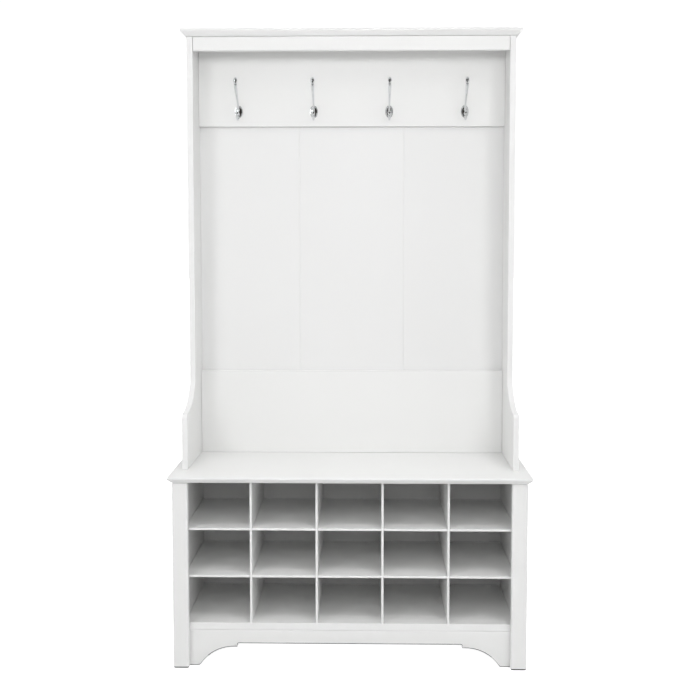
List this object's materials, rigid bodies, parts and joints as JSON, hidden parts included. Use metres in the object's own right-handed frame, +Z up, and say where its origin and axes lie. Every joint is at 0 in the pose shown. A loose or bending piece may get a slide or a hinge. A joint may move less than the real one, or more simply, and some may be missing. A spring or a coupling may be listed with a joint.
{
  "type": "hall tree with hooks",
  "caption": "Free-standing white hall tree: a low bench with open shoe cubbies, a tall back with swept arms, and a rail of chrome double coat hooks",
  "frame": {"origin": "on the floor, at the centre of the footprint", "axes": "+Z up, +X to the right of someone who faces the front, the front faces -Y and the back +Y"},
  "size_m": [0.978, 0.368, 1.75],
  "materials": {
    "white_laminate": "satin white melamine laminate on particle board, faint fine texture",
    "white_backing": "matt white paper on thin hardboard",
    "chrome": "polished chrome on a zinc casting",
    "plated_steel": "bright zinc plate",
    "dowel_wood": "plain fluted beech"
  },
  "bodies": {
    "root": {"apron": "white_laminate", "back_panel_centre": "white_backing", "back_panel_left": "white_backing", "back_panel_right": "white_backing", "base_back_panel": "white_backing", "base_cladding_left": "white_laminate", "base_cladding_right": "white_laminate", "base_side_left": "white_laminate", "base_side_right": "white_laminate", "bottom_shelf": "white_laminate", "crown_board": "white_laminate", "crown_dowel_left_back": "dowel_wood", "crown_dowel_left_front": "dowel_wood", "crown_dowel_right_back": "dowel_wood", "crown_dowel_right_front": "dowel_wood", "divider_1": "white_laminate", "divider_2": "white_laminate", "divider_3": "white_laminate", "divider_4": "white_laminate", "fascia_rail": "white_laminate", "hook_1": "chrome", "hook_1_foot_screw": "plated_steel", "hook_1_top_screw": "plated_steel", "hook_2": "chrome", "hook_2_foot_screw": "plated_steel", "hook_2_top_screw": "plated_steel", "hook_3": "chrome", "hook_3_foot_screw": "plated_steel", "hook_3_top_screw": "plated_steel", "hook_4": "chrome", "hook_4_foot_screw": "plated_steel", "hook_4_top_screw": "plated_steel", "hook_rail": "white_laminate", "hook_rail_dowel_left_foot": "dowel_wood", "hook_rail_dowel_left_top": "dowel_wood", "hook_rail_dowel_right_foot": "dowel_wood", "hook_rail_dowel_right_top": "dowel_wood", "hutch_side_left": "white_laminate", "hutch_side_right": "white_laminate", "lower_back_rail": "white_laminate", "lower_rail_dowel_left_foot": "dowel_wood", "lower_rail_dowel_left_top": "dowel_wood", "lower_rail_dowel_right_foot": "dowel_wood", "lower_rail_dowel_right_top": "dowel_wood", "rear_foot_rail": "white_laminate", "seat_board": "white_laminate", "seat_dowel_left_back": "dowel_wood", "seat_dowel_left_front": "dowel_wood", "seat_dowel_right_back": "dowel_wood", "seat_dowel_right_front": "dowel_wood", "shelf_dowel_left_back": "dowel_wood", "shelf_dowel_left_front": "dowel_wood", "shelf_dowel_right_back": "dowel_wood", "shelf_dowel_right_front": "dowel_wood", "shelf_lower": "white_laminate", "shelf_upper": "white_laminate", "stile_left": "white_laminate", "stile_right": "white_laminate"}
  },
  "joints": []
}
